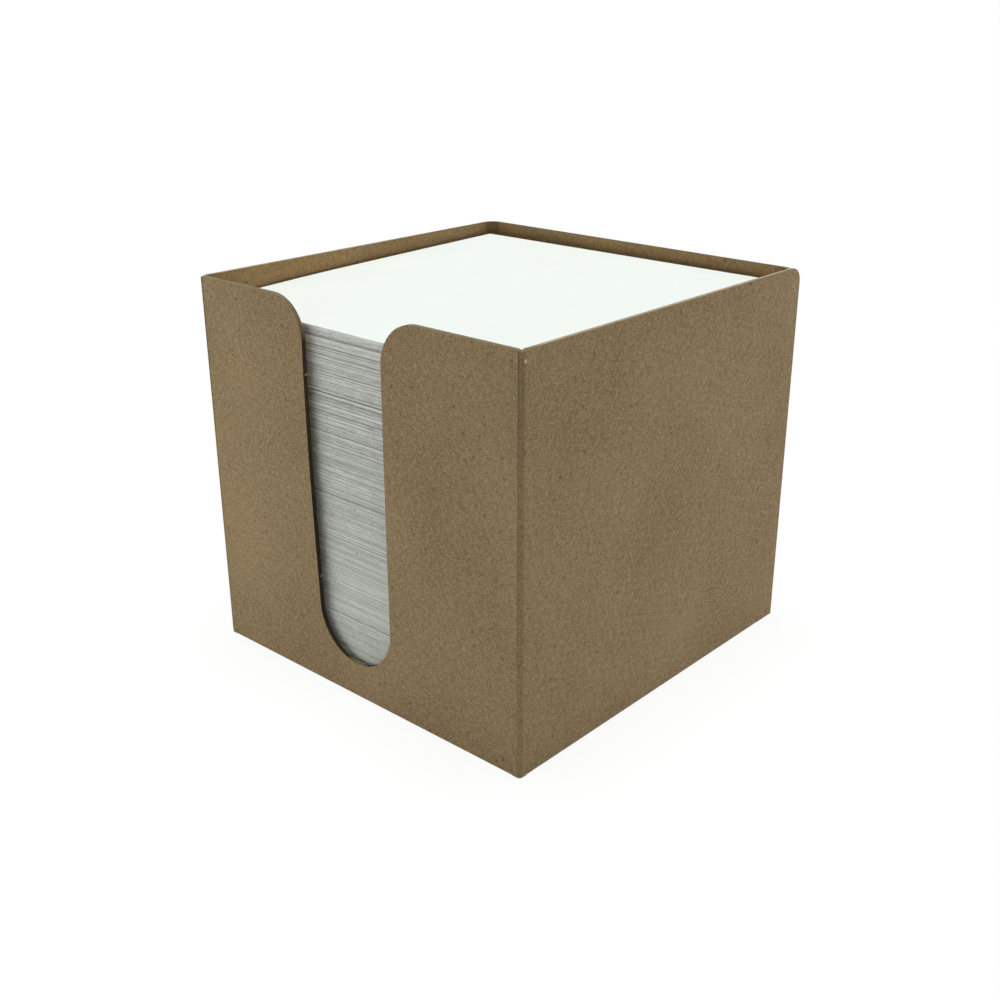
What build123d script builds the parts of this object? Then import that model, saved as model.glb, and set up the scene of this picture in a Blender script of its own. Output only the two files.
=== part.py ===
from build123d import *
from math import asin, atan2, cos, degrees, sin
import os

# Memo cube holder: a desk box of kraft board with a finger slot in its front
# wall, filled with loose square note sheets. Millimetres.
# Origin: centre of the box's footprint, on the table. +Z up, slotted front wall
# towards -Y, seam at the back right.

# Sheets
note = 90.0  # side of one square sheet
sheet = 0.105  # thickness of one sheet
slip_step = 0.15  # unit of the small slips between handfuls of sheets
back_rise = 3.1  # how much higher the loose pile stands at its back edge

# Board
board = 1.0  # thickness of the kraft board
glue = 0.1  # thickness of a glue film
fold_radius = 1.4  # outer radius of an upright fold
back_fold_radius = 3.0  # outer radius of the slacker fold at the back left
base_fold_radius = 1.2  # outer radius of a fold at the base
fold_land = 0.6  # flat strip beside a fold, up to the crease line
cut_gap = 0.3  # clearance between two cut edges

# Room round the sheets
side_gap = 0.95  # on each side of them, to the left wall and to the glue flap
front_gap = 0.9  # in front of them
back_gap = 1.6  # behind them, at the seam

# Box
height = 89.0
seam_inset = 2.3  # how much nearer the back wall is at the seam than at the left
seam_overhang = 3.0  # of the right wall past the seam
free_corner_radius = 3.0  # at the top of the right wall's free edge
flap_length = 12.0  # of the glue flap at the seam
flap_slope = 5.0  # how far the flap's ends slope in
tab_width = 15.0  # of the glue tabs under the base
glue_margin = 2.0  # from a glue film to the board's edges
foot_setback = 4.0  # of the side tabs from the back wall

# Finger slot
slot_width = 23.2
slot_floor = 8.4  # lowest point of the slot above the table
slot_offset = -1.2  # of its centre line from the middle of the wall
mouth_radius = 9.5  # where the slot runs out into the rim

# Handfuls of sheets in each block, from the bottom up: how many sheets, and the
# slip to the right and to the back, counted in slip steps
note_blocks = {
    "bottom_note_block": ((79, 0.5, 3.0), (72, 0.0, 2.5)),
    "lower_note_block": (
        (26, 0.5, 0.0),
        (32, -0.5, 0.8),
        (57, 0.0, 0.3),
        (23, 0.5, 1.0),
        (37, -1.0, 0.2),
        (33, 0.0, 0.9),
        (28, 0.8, 0.1),
        (34, -0.3, 0.7),
    ),
    "upper_note_block": (
        (17, 0.6, 0.0),
        (29, -0.4, 0.7),
        (28, 0.2, 0.1),
        (21, -0.8, 0.9),
        (22, 0.4, 0.2),
        (20, 0.0, 0.8),
        (43, 0.7, 0.1),
        (24, -0.3, 0.7),
        (15, 0.3, 0.0),
    ),
    "top_note_block": ((46, 0.0, 0.8), (35, 0.5, 0.4), (33, -0.2, 0.7)),
    "loose_notes": ((16, 0.6, 0.3),),
    "top_note": ((1, -0.4, 0.6),),
}

# Outline of the box, worked out from what it holds
flap_stack = board + glue
width = note + 2 * side_gap + 2 * board + flap_stack
left_x = -width / 2
right_x = width / 2
seam_depth = note + front_gap + back_gap + 2 * board
depth = seam_depth + seam_overhang
front_y = -depth / 2
free_edge_y = depth / 2
seam_x = right_x - flap_stack
seam_y = front_y + seam_depth
back_left_y = seam_y + seam_inset
back_slant = atan2(seam_inset, seam_x - left_x)
fold_strip = fold_radius + fold_land
back_fold_strip = back_fold_radius + fold_land
base_strip = base_fold_radius + fold_land
base_floor = flap_stack
base_top = base_floor + board
flap_face_x = seam_x - board

# Where the sheets lie: turned a little, with half the side gap at each corner
pile_turn = asin(side_gap / note)
pile_span = note * (cos(pile_turn) + sin(pile_turn))
pile_x = (left_x + board + flap_face_x) / 2
pile_y = front_y + board + front_gap + pile_span / 2
pile_sheets = sum(count for block in note_blocks.values() for count, _, _ in block)
fan = back_rise / (pile_sheets * sheet)
pile_side = Plane(
    origin=(pile_x, pile_y, base_top),
    x_dir=(sin(pile_turn), cos(pile_turn), 0),
    z_dir=(cos(pile_turn), -sin(pile_turn), 0),
)

# Planes that the flat panels are drawn on
front_face = Plane.XZ.offset(-front_y)
left_face = Plane.YZ.offset(left_x)
right_face = Plane.YZ.offset(right_x)
across = Plane.YZ  # sections that run from left to right
along = Plane.XZ  # sections that run from front to back
back_section = Plane(
    origin=(left_x, back_left_y, 0),
    x_dir=(-sin(back_slant), -cos(back_slant), 0),
    z_dir=(-cos(back_slant), sin(back_slant), 0),
)

# Ends of the glue tabs
tab_end_x = right_x - fold_strip - cut_gap
tab_front_y = front_y + fold_strip + cut_gap
tab_back_y = seam_y - foot_setback
side_tab_length = tab_back_y - tab_front_y

os.makedirs("parts", exist_ok=True)


def save(piece, name):
    """Labels a finished piece and writes it under that name."""
    piece.label = name
    export_step(piece, f"parts/{name}.step")


def ribbon(plane, points, radii, side):
    """The section of a folded strip of board, drawn along its outer line."""
    with BuildSketch(plane) as section:
        with BuildLine():
            FilletPolyline(*points, radius=radii)
            offset(amount=board, side=side)
        make_face()
    return section.sketch


def notch(face, start, end):
    """What is cut from the foot of a wall, where its base fold starts."""
    with BuildSketch(face) as cut:
        with Locations(((start + end) / 2, base_strip / 2)):
            Rectangle(end - start, base_strip)
    return cut.sketch


def level(sheets_below, y):
    """Height of a sheet in the pile, y being counted from the pile's middle."""
    return sheets_below * sheet * (1 + fan * (y / note + 0.5))


# Front wall, with the fold at each side
with BuildPart() as front_wall:
    front_line = [
        (left_x, front_y + fold_strip),
        (left_x, front_y),
        (right_x, front_y),
        (right_x, front_y + fold_strip),
    ]
    extrude(ribbon(Plane.XY, front_line, fold_radius, Side.LEFT), amount=height)
    slot_x = slot_offset
    slot_centre_z = slot_floor + slot_width / 2
    with BuildSketch(front_face):
        with Locations((slot_x, slot_centre_z)):
            Circle(slot_width / 2)
            Rectangle(slot_width, height, align=(Align.CENTER, Align.MIN))
    extrude(amount=-board, mode=Mode.SUBTRACT)
    rim_ends = front_wall.edges().filter_by(Axis.Y).group_by(Axis.Z)[-1]
    mouth = rim_ends.sort_by(lambda edge: abs(edge.center().X - slot_x))[:2]
    fillet(mouth, radius=mouth_radius)
    front_notch = notch(front_face, left_x + fold_strip, right_x - fold_strip)
    extrude(front_notch, amount=-board, mode=Mode.SUBTRACT)
save(front_wall.part, "front_wall")

# Left wall, a flat panel between two folds
with BuildPart() as left_wall:
    with BuildSketch(left_face):
        with BuildLine():
            Polyline(
                (front_y + fold_strip, 0),
                (back_left_y - back_fold_strip, 0),
                (back_left_y - back_fold_strip, height),
                (front_y + fold_strip, height),
                close=True,
            )
        make_face()
    extrude(amount=board)
    left_notch = notch(left_face, front_y + fold_strip, tab_back_y + cut_gap)
    extrude(left_notch, amount=board, mode=Mode.SUBTRACT)
save(left_wall.part, "left_wall")

# Right wall, a flat panel from the near fold to its own cut edge past the seam
with BuildPart() as right_wall:
    with BuildSketch(right_face):
        with BuildLine():
            Polyline(
                (front_y + fold_strip, 0),
                (free_edge_y, 0),
                (free_edge_y, height),
                (front_y + fold_strip, height),
                close=True,
            )
        make_face()
        fillet(vertices().group_by(Axis.Z)[-1].sort_by(Axis.Y)[-1], free_corner_radius)
    extrude(amount=-board)
    right_notch = notch(right_face, front_y + fold_strip, tab_back_y + cut_gap)
    extrude(right_notch, amount=-board, mode=Mode.SUBTRACT)
save(right_wall.part, "right_wall")

# Back wall, with the slack fold at the left and the fold of the glue flap
with BuildPart() as back_wall:
    back_line = [
        (left_x, back_left_y - back_fold_strip),
        (left_x, back_left_y),
        (seam_x, seam_y),
        (seam_x, seam_y - fold_strip),
    ]
    back_radii = (back_fold_radius, fold_radius)
    extrude(ribbon(Plane.XY, back_line, back_radii, Side.RIGHT), amount=height)
    base_fold_start = left_x + back_fold_strip
    base_fold_end = seam_x - fold_strip
    with BuildSketch():
        with BuildLine():
            Polyline(
                (base_fold_start, back_left_y + board),
                (base_fold_end, back_left_y + board),
                (base_fold_end, seam_y - fold_strip),
                (base_fold_start, seam_y - fold_strip),
                close=True,
            )
        make_face()
    extrude(amount=base_floor + base_strip, mode=Mode.SUBTRACT)
save(back_wall.part, "back_wall")

# Glue flap, folded forward from the back wall along the right wall
with BuildPart() as seam_flap:
    flap_start_y = seam_y - fold_strip
    flap_end_y = flap_start_y - flap_length
    with BuildSketch(Plane.YZ.offset(seam_x)):
        with BuildLine():
            Polyline(
                (flap_start_y, base_top + cut_gap),
                (flap_start_y, height),
                (flap_end_y, height - flap_slope),
                (flap_end_y, base_top + flap_slope),
                close=True,
            )
        make_face()
    extrude(amount=-board)
save(seam_flap.part, "seam_flap")

# Glue film between that flap and the right wall
with BuildPart() as seam_glue:
    with BuildSketch(Plane.YZ.offset(seam_x)):
        film_height = height - base_top - 2 * (flap_slope + glue_margin)
        with Locations(((flap_start_y + flap_end_y) / 2, (height + base_top) / 2)):
            Rectangle(flap_length - 2 * glue_margin, film_height)
    extrude(amount=glue)
save(seam_glue.part, "seam_glue")

# Base panel, folded in from the back wall one board above the table
with BuildPart() as base_panel:
    panel_left = left_x + board + cut_gap
    panel_right = flap_face_x - cut_gap
    panel_front = front_y + board + cut_gap
    panel_back = back_left_y - back_fold_strip - cut_gap
    panel_line = [(0, base_floor + base_strip), (0, base_floor), (depth, base_floor)]
    panel_section = ribbon(back_section, panel_line, base_fold_radius, Side.LEFT)
    extrude(panel_section, amount=2 * width, both=True)
    with BuildSketch():
        with BuildLine():
            Polyline(
                (panel_left, panel_front),
                (panel_right, panel_front),
                (panel_right, seam_y - fold_strip - cut_gap),
                (base_fold_end - cut_gap, seam_y - fold_strip - cut_gap),
                (base_fold_end - cut_gap, free_edge_y),
                (base_fold_start + cut_gap, free_edge_y),
                (base_fold_start + cut_gap, panel_back),
                (panel_left, panel_back),
                close=True,
            )
        make_face()
    extrude(amount=height, mode=Mode.INTERSECT)
save(base_panel.part, "base_panel")

# Front glue tab, with its fold and mitred ends
with BuildPart() as front_tab:
    tab_line = [(front_y, base_strip), (front_y, 0), (front_y + tab_width, 0)]
    extrude(ribbon(across, tab_line, base_fold_radius, Side.LEFT), amount=width, both=True)
    with BuildSketch():
        with BuildLine():
            Polyline(
                (-tab_end_x, front_y),
                (tab_end_x, front_y),
                (tab_end_x, front_y + fold_strip),
                (tab_end_x - tab_width + fold_strip, front_y + tab_width),
                (-tab_end_x + tab_width - fold_strip, front_y + tab_width),
                (-tab_end_x, front_y + fold_strip),
                close=True,
            )
        make_face()
    extrude(amount=base_strip, mode=Mode.INTERSECT)
save(front_tab.part, "front_tab")

# Left and right glue tabs, mirror images of each other
for name, hand in (("left_tab", -1), ("right_tab", 1)):
    fold_x = hand * right_x
    inner_x = hand * (right_x - tab_width)
    with BuildPart() as side_tab:
        tab_line = [(fold_x, base_strip), (fold_x, 0), (inner_x, 0)]
        inside = Side.LEFT if hand < 0 else Side.RIGHT
        extrude(ribbon(along, tab_line, base_fold_radius, inside), amount=depth, both=True)
        with BuildSketch():
            with BuildLine():
                Polyline(
                    (fold_x, tab_front_y),
                    (hand * (right_x - fold_strip), tab_front_y),
                    (inner_x, tab_front_y + tab_width - fold_strip),
                    (inner_x, tab_back_y),
                    (fold_x, tab_back_y),
                    close=True,
                )
            make_face()
        extrude(amount=base_strip, mode=Mode.INTERSECT)
    save(side_tab.part, name)

# Glue films on the three tabs, under the base panel
film_width = tab_width - base_strip - 2 * glue_margin
film_centre = base_strip + glue_margin + film_width / 2
side_film_length = side_tab_length - tab_width - 2 * glue_margin
side_film_y = tab_back_y - glue_margin - side_film_length / 2
glue_films = {
    "front_glue": (0, front_y + film_centre, 2 * (tab_end_x - tab_width), film_width),
    "left_glue": (left_x + film_centre, side_film_y, film_width, side_film_length),
    "right_glue": (right_x - film_centre, side_film_y, film_width, side_film_length),
}
for name, (film_x, film_y, film_length_x, film_length_y) in glue_films.items():
    with BuildPart() as film:
        with BuildSketch(Plane.XY.offset(board)):
            with Locations((film_x, film_y)):
                Rectangle(film_length_x, film_length_y)
        extrude(amount=glue)
    save(film.part, name)

# Note sheets: each block is a pile of handfuls that slipped a little
sheets_below = 0
for name, handfuls in note_blocks.items():
    with BuildPart() as block:
        for count, slip_right, slip_back in handfuls:
            front = slip_back * slip_step - note / 2
            back = front + note
            with BuildSketch(pile_side.offset(slip_right * slip_step)):
                with BuildLine():
                    Polyline(
                        (front, level(sheets_below, front)),
                        (back, level(sheets_below, back)),
                        (back, level(sheets_below + count, back)),
                        (front, level(sheets_below + count, front)),
                        close=True,
                    )
                make_face()
            extrude(amount=note / 2, both=True)
            sheets_below += count
    save(block.part, name)

print(f"box {width:.2f} x {depth:.2f} x {height:.2f} mm, {pile_sheets} sheets")
print(f"pile turned {degrees(pile_turn):.2f} degrees, back wall {degrees(back_slant):.2f}")
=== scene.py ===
import math
import random

import bmesh
import bpy
from mathutils import Matrix, Vector, noise


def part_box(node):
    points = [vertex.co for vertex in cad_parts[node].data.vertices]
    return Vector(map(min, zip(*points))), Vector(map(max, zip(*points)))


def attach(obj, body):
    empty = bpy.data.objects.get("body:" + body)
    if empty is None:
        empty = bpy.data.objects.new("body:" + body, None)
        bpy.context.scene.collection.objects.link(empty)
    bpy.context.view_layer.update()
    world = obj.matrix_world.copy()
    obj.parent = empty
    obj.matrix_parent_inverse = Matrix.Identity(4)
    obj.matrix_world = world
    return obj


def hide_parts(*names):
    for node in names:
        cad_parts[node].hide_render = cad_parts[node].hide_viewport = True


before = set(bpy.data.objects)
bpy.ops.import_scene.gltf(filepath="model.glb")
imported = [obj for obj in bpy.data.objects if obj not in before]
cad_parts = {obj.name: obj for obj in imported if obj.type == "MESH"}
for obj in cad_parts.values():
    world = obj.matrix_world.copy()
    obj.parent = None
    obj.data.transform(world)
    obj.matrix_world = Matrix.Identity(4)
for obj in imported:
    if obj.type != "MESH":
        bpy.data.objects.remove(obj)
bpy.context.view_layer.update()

# Everything below is written in millimetres and degrees and turned into metres here
mm = 0.001


# Sizes read from the frame

def low(node):
    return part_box(node)[0] / mm


def high(node):
    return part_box(node)[1] / mm


leftX = low("front_wall").x
rightX = high("front_wall").x
frontY = low("front_wall").y
freeEdgeY = high("right_wall").y
backLeftY = high("back_wall").y
height = high("front_wall").z
board = high("left_wall").x - leftX
foldStrip = high("front_wall").y - frontY
seamX = high("seam_flap").x
flapFaceX = low("seam_flap").x
baseStrip = high("front_tab").z
baseFloor = low("base_panel").z
baseTop = baseFloor + board

# The front wall's two folds, which show their creases
frontFolds = ((leftX, frontY), (rightX, frontY))


# Camera, stage and light

cameraLook = {
    "lens": 44.794,
    "sensor": 36,
    "clip": (0.01, 50),  # in metres
    "place": (185.952, -208.425, 146.897),
    "turn": (67.849, 0.100, 41.944),
}

stageLook = {
    "floorSize": 9000,
    "floorDrop": 0.02,  # so that the tabs don't share a plane with the floor
    "seenColour": (0.97, 0.97, 0.97, 1),  # by the camera, reflections and glass
    "glow": 0.88,  # share of the seen floor that is plain white, the rest takes shadow
    "glowReach": (110, 330),  # from the middle, where the share grows until all is white
    "bounceColour": (0.60, 0.60, 0.60, 1),  # by everything else
    "ambient": 0.18,
}

# Two panels of light stand near the box and a wide soft sun hangs above it
panelLights = {
    "front": {
        "power": 0.205,
        "size": (320, 100),
        "place": (-135, -255, 52),
        "aim": (0, -49, 40),
    },
    "right": {
        "power": 0.264,
        "size": (320, 100),
        "place": (255, 195, 52),
        "aim": (48, 0, 40),
    },
}
sunLook = {"strength": 2.67, "width": 30, "from": (0, 0, 1)}


def makeCamera(look):
    data = bpy.data.cameras.new("camera")
    data.sensor_width = look["sensor"]
    data.lens = look["lens"]
    data.clip_start, data.clip_end = look["clip"]
    camera = bpy.data.objects.new("camera", data)
    camera.location = Vector(look["place"]) * mm
    camera.rotation_euler = [math.radians(angle) for angle in look["turn"]]
    bpy.context.scene.collection.objects.link(camera)
    bpy.context.scene.camera = camera


def hangLamp(data, source):
    lamp = bpy.data.objects.new(data.name, data)
    lamp.rotation_euler = source.to_track_quat("Z", "Y").to_euler()
    bpy.context.scene.collection.objects.link(lamp)
    return lamp


def makeLamps(panels, sun):
    for name, look in panels.items():
        data = bpy.data.lights.new(name, "AREA")
        data.energy = look["power"]
        data.shape = "RECTANGLE"
        data.size, data.size_y = (side * mm for side in look["size"])
        place = Vector(look["place"])
        lamp = hangLamp(data, place - Vector(look["aim"]))
        lamp.location = place * mm
    data = bpy.data.lights.new("above", "SUN")
    data.energy = sun["strength"]
    data.angle = math.radians(sun["width"])
    hangLamp(data, Vector(sun["from"]))


makeCamera(cameraLook)
makeLamps(panelLights, sunLook)
bpy.context.scene.view_settings.view_transform = "Standard"
print("camera and lamps are in place")


# Shader maths

class Signal:
    # one value in a material, which can stand in an expression

    def __init__(self, finish, link):
        self.finish = finish
        self.link = link

    def maths(self, operation, *others):
        settings = {"operation": operation}
        return self.finish.node("Math", settings, dict(enumerate((self, *others))))

    def __add__(self, other):
        return self.maths("ADD", other)

    def __sub__(self, other):
        return self.maths("SUBTRACT", other)

    def __mul__(self, other):
        return self.maths("MULTIPLY", other)

    def __truediv__(self, other):
        return self.maths("DIVIDE", other)

    def __gt__(self, other):
        return self.maths("GREATER_THAN", other)

    def __lt__(self, other):
        return self.maths("LESS_THAN", other)

    def __radd__(self, other):
        return self.maths("ADD", other)

    def __rmul__(self, other):
        return self.maths("MULTIPLY", other)

    def __rsub__(self, other):
        return (self * -1.0) + other

    def size(self):
        return self.maths("ABSOLUTE")

    def between(self, start, end):
        # 0 below start, 1 above end, and smooth in between
        settings = {"interpolation_type": "SMOOTHSTEP"}
        sockets = {"Value": self, "From Min": start, "From Max": end}
        return self.finish.node("MapRange", settings, sockets)


def most(signals):
    # the largest of several values
    largest, *others = signals
    for other in others:
        largest = largest.maths("MAXIMUM", other)
    return largest


def added(signals, shares, start=0.0):
    # each value times its share, added up
    total = start
    for signal, share in zip(signals, shares):
        total = signal * share + total
    return total


class Finish:
    # a material, or a world, and the nodes that are added to it

    def __init__(self, name, world=None):
        self.holder = world or bpy.data.materials.new(name)
        self.holder.use_nodes = True
        self.tree = self.holder.node_tree
        self.tree.nodes.clear()

    def node(self, kind, settings=None, sockets=None, out=0):
        made = self.tree.nodes.new("ShaderNode" + kind)
        for key, value in (settings or {}).items():
            setattr(made, key, value)
        for key, value in (sockets or {}).items():
            socket = made.inputs[key]
            if isinstance(value, Signal):
                self.tree.links.new(value.link, socket)
            else:
                socket.default_value = value
        return Signal(self, made.outputs[out] if made.outputs else None)

    def outputs(self, signal, *names):
        # other outputs of the node that a signal comes from
        outputs = signal.link.node.outputs
        return [Signal(self, outputs[name]) for name in names]

    def place(self):
        # the point on the piece, in millimetres
        point = self.node("TexCoord", out="Object")
        settings = {"operation": "SCALE"}
        return self.node("VectorMath", settings, {0: point, "Scale": 1 / mm})

    def lift(self):
        # 1 where the surface looks up, 0 where it looks sideways, -1 where it looks down
        return self.split(self.node("TexCoord", out="Normal"))[2]

    def seen(self):
        # 1 for the camera, reflections and glass, 0 for the light that comes back
        rays = ("Is Camera Ray", "Is Glossy Ray", "Is Transmission Ray")
        return most(self.outputs(self.node("LightPath"), *rays))

    def split(self, vector):
        return self.outputs(self.node("SeparateXYZ", sockets={0: vector}), 0, 1, 2)

    def join(self, x, y, z=0.0):
        return self.node("CombineXYZ", sockets={0: x, 1: y, 2: z})

    def grain(self, point, perMm, detail=2.0, rough=0.5):
        sockets = {"Vector": point, "Scale": perMm, "Detail": detail, "Roughness": rough}
        return self.node("TexNoise", None, sockets)

    def blend(self, factor, first, second):
        # colours use sockets 6 and 7 of a Mix node, and its output 2
        settings = {"data_type": "RGBA"}
        return self.node("Mix", settings, {0: factor, 6: first, 7: second}, 2)

    def finishWith(self, colour, roughness, relief=None, bumpDepth=0.0, gloss=0.25):
        sockets = {
            "Base Color": colour,
            "Roughness": roughness,
            "Specular IOR Level": gloss,
        }
        if relief is not None:
            bump = {"Height": relief, "Strength": 1.0, "Distance": bumpDepth * mm}
            sockets["Normal"] = self.node("Bump", None, bump)
        shader = self.node("BsdfPrincipled", None, sockets)
        self.node("OutputMaterial", None, {"Surface": shader})
        return self.holder


# Floor and world

def makeFloorFinish(look):
    finish = Finish("paleFloor")
    seen = finish.seen()
    colour = finish.blend(seen, look["bounceColour"], look["seenColour"])
    shaded = finish.node("BsdfDiffuse", None, {"Color": colour})
    white = finish.node("Emission", None, {"Color": (1, 1, 1, 1), "Strength": 1.0})
    x, y, _ = finish.split(finish.place())
    away = (x * x + y * y).maths("SQRT").between(*look["glowReach"])
    glow = away * (1 - look["glow"]) + look["glow"]
    shader = finish.node("MixShader", None, {0: seen * glow, 1: shaded, 2: white})
    finish.node("OutputMaterial", None, {"Surface": shader})
    return finish.holder


def makeWorld(look):
    world = bpy.data.worlds.new("studio")
    bpy.context.scene.world = world
    finish = Finish("studio", world)
    strength = finish.seen() * (1 - look["ambient"]) + look["ambient"]
    sky = {"Color": (1, 1, 1, 1), "Strength": strength}
    finish.node("OutputWorld", None, {"Surface": finish.node("Background", None, sky)})


def makeStage(look):
    bm = bmesh.new()
    half = look["floorSize"] / 2 * mm
    bmesh.ops.create_grid(bm, x_segments=1, y_segments=1, size=half)
    bmesh.ops.translate(bm, verts=bm.verts, vec=(0, 0, -look["floorDrop"] * mm))
    mesh = bpy.data.meshes.new("floor")
    bm.to_mesh(mesh)
    bm.free()
    mesh.materials.append(makeFloorFinish(look))
    floor = bpy.data.objects.new("floor", mesh)
    bpy.context.scene.collection.objects.link(floor)
    makeWorld(look)


makeStage(stageLook)


# Kraft board: what its faces and its cut edges look like

boardLook = {
    "outside": ((0.175, 0.119, 0.056, 1), (0.395, 0.286, 0.147, 1)),  # dark and light
    # the inside's tones are a lighter, warmer copy of the outside's on the same board:
    # painted light, set to how the inner walls look under the lamps
    "inside": ((0.250, 0.153, 0.063, 1), (0.500, 0.326, 0.147, 1)),
    "fibre": (0.58, 0.46, 0.285, 1),
    "fleck": (0.070, 0.046, 0.024, 1),
    "loose": (0.62, 0.53, 0.40, 1),  # of the board's inside, bared and fluffy
    "crease": (0.095, 0.074, 0.026, 1),
    "fine": {"perMm": 4.2, "detail": 3.0, "rough": 0.7},
    "coarse": {"perMm": 0.9},
    "cloud": {"perMm": 0.035},
    "contrast": (1.9, 0.5, 0.42),  # of the fine, coarse and cloudy grain
    "relief": (0.7, 0.5, 0.5, -0.3),  # of both grains, the strands and the flecks
    "bumpDepth": 0.05,
    "roughness": (0.86, 0.16),  # on average, and with the fine grain
    "blots": ((-83.3, 85.7),),  # x and y added up, and z
    "blotSize": 0.35,
    "chips": ((-0.2, 86.9),),  # where the face has come off
    "chipSize": 0.48,
}

# Short marks in the face: each kind's angle, length, width and share of the cells
strandLook = {
    "kinds": (
        (18, 2.2, 0.34, 0.34),
        (74, 1.9, 0.30, 0.30),
        (131, 2.4, 0.34, 0.32),
        (-38, 1.3, 0.26, 0.34),
    ),
    "shift": 0.0,  # so that two sets of marks don't fall on each other
    "show": 0.40,
}
fleckLook = {
    "kinds": ((48, 1.1, 0.42, 0.035), (-14, 1.3, 0.42, 0.045), (5, 1.9, 1.2, 0.07)),
    "shift": 40.0,
    "show": 0.5,
}
glintLook = {"kinds": ((-62, 0.9, 0.38, 0.05),), "shift": 17.0, "show": 0.45}
cellLook = {
    "bend": {"perMm": 0.7, "detail": 1.0},  # the grain that bends the marks
    "sway": 2.2,  # how far it bends them, in widths of a mark
    "core": (0.08, 0.26),  # of its cell, from solid to nothing
}

creaseLook = {
    "gap": 0.75,  # from a fold's corner line to each crease beside it
    "width": 0.42,
    "show": (0.62, 0.26),  # on the front of a fold and on its side
    "paintedFoldShade": 0.20,  # painted shade on the rounded strip between two creases
    "foot": 0.35,  # share of its tone that a crease has at its foot
    "rises": ((5.0, 45.0, 0.65), (60.0, 88.0, 0.4)),  # from, to and the share it gains
    "press": (0.4, 0.9),  # on average, and with the coarse grain
}

# Painted shade in the inside of the slack fold at the back left, in from the walls'
# inner faces
bendLook = {"reach": (2.1, 2.6), "slack": 0.3, "show": 0.36}

# Cut edges take a tone by the way they face, on the same board: paler facing up and
# darker facing sideways, painted light from above
cutLook = {
    "top": (0.46, 0.38, 0.26, 1),
    "front": (0.28, 0.225, 0.14, 1),  # of the front wall's rim
    "back": (0.20, 0.16, 0.095, 1),  # of the rims behind and the foot, darker; at the slot's foot it is painted shade
    "mouth": (0.245, 0.175, 0.090, 1),  # of the arcs at the slot's mouth
    "side": (0.19, 0.145, 0.085, 1),
    "slot": (0.021, 0.023, 0.0135, 1),  # of the slot's sides: painted shade, near black
    "slotReach": 16.0,  # from the wall's middle
    "frontEnds": (-47.0, -42.0),  # y where the front rim turns into the others
    "backStarts": (0.0, 35.0),
    "rightRim": (1.4, 1.1),  # from the right wall's outer face, where the rim keeps the pale top tone
    "raised": (40.0, 75.0),  # z from the foot's tone to the rim's
    "shoulder": (-0.1, 0.3),  # lift from the slot's side to its mouth
    "rimLift": (0.95, 0.2),  # lift from which a cut is a rim, and how much less above
    "fine": {"perMm": 4.5, "detail": 3.0, "rough": 0.7},
    "coarse": {"perMm": 0.7},
    "tone": 0.45,
    "contrast": (1.2, 0.7),  # of the fine and the coarse grain
    "fleckTone": (0.2, 1.4),
    "relief": (1.0, 0.6),
    "surface": {"roughness": 0.95, "bumpDepth": 0.08, "gloss": 0.15},
}


def fibres(finish, along, up, kind):
    # short strands that lie in the board's face: a few stretched cells
    angle, length, width, keep = kind
    turned = math.radians(angle)
    wander = finish.grain(finish.join(along, up), **cellLook["bend"])
    u = along * math.cos(turned) + up * math.sin(turned)
    v = up * math.cos(turned) - along * math.sin(turned)
    v = v + wander * (cellLook["sway"] * width)
    cell = finish.join(u / length, v / width)
    settings = {"voronoi_dimensions": "2D"}
    near = finish.node("TexVoronoi", settings, {"Vector": cell, "Scale": 1.0})
    (hue,) = finish.outputs(near, "Color")
    chance, _, _ = finish.split(hue)
    core = 1 - near.between(*cellLook["core"])
    return core * (chance < keep)


def scatter(finish, along, up, look):
    shifted = along + look["shift"]
    return most([fibres(finish, shifted, up, kind) for kind in look["kinds"]])


def marks(across, up, places, size):
    # a few small blots at known places, each with a soft rim
    middle = 0.4 * size
    found = []
    for placeAcross, placeUp in places:
        u, v = across - placeAcross, up - placeUp
        found.append(1 - (u * u + v * v).maths("SQRT").between(middle, size))
    return most(found)


def boardPoint(finish):
    # place on the board's face: along and up a wall, or across a level panel
    x, y, z = finish.split(finish.place())
    level = finish.lift().size() > 0.7
    upright = 1 - level
    return x + y * upright, z * upright + y * level, (x, y, z)


def creaseLines(x, y, z, coarse, look):
    lines = []
    ahead, aside = look["show"]
    for cornerX, cornerY in frontFolds:
        gapX, gapY = (x - cornerX).size(), (y - cornerY).size()
        gap = gapX.maths("MAXIMUM", gapY)
        line = 1 - (gap - look["gap"]).size().between(0.0, look["width"])
        atFold = gapX.maths("MINIMUM", gapY) < look["gap"] / 2
        show = (gapX > gapY) * (ahead - aside) + aside
        # the strip between the creases is painted darker: painted shade on the fold
        paintedFoldShade = (gap < look["gap"]) * look["paintedFoldShade"]
        lines.append((line * atFold * show).maths("MAXIMUM", paintedFoldShade))
    fade = look["foot"]
    for start, end, gain in look["rises"]:
        fade = z.between(start, end) * gain + fade
    press, byGrain = look["press"]
    return most(lines) * ((press + coarse * byGrain) * fade)


def bendShade(x, y, look):
    shade = look["show"]
    for gap in (x - (leftX + board), (backLeftY - board) - y):
        near = (1 - gap.between(*look["reach"])) * (gap > -look["slack"])
        shade = near * shade
    return shade


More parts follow.
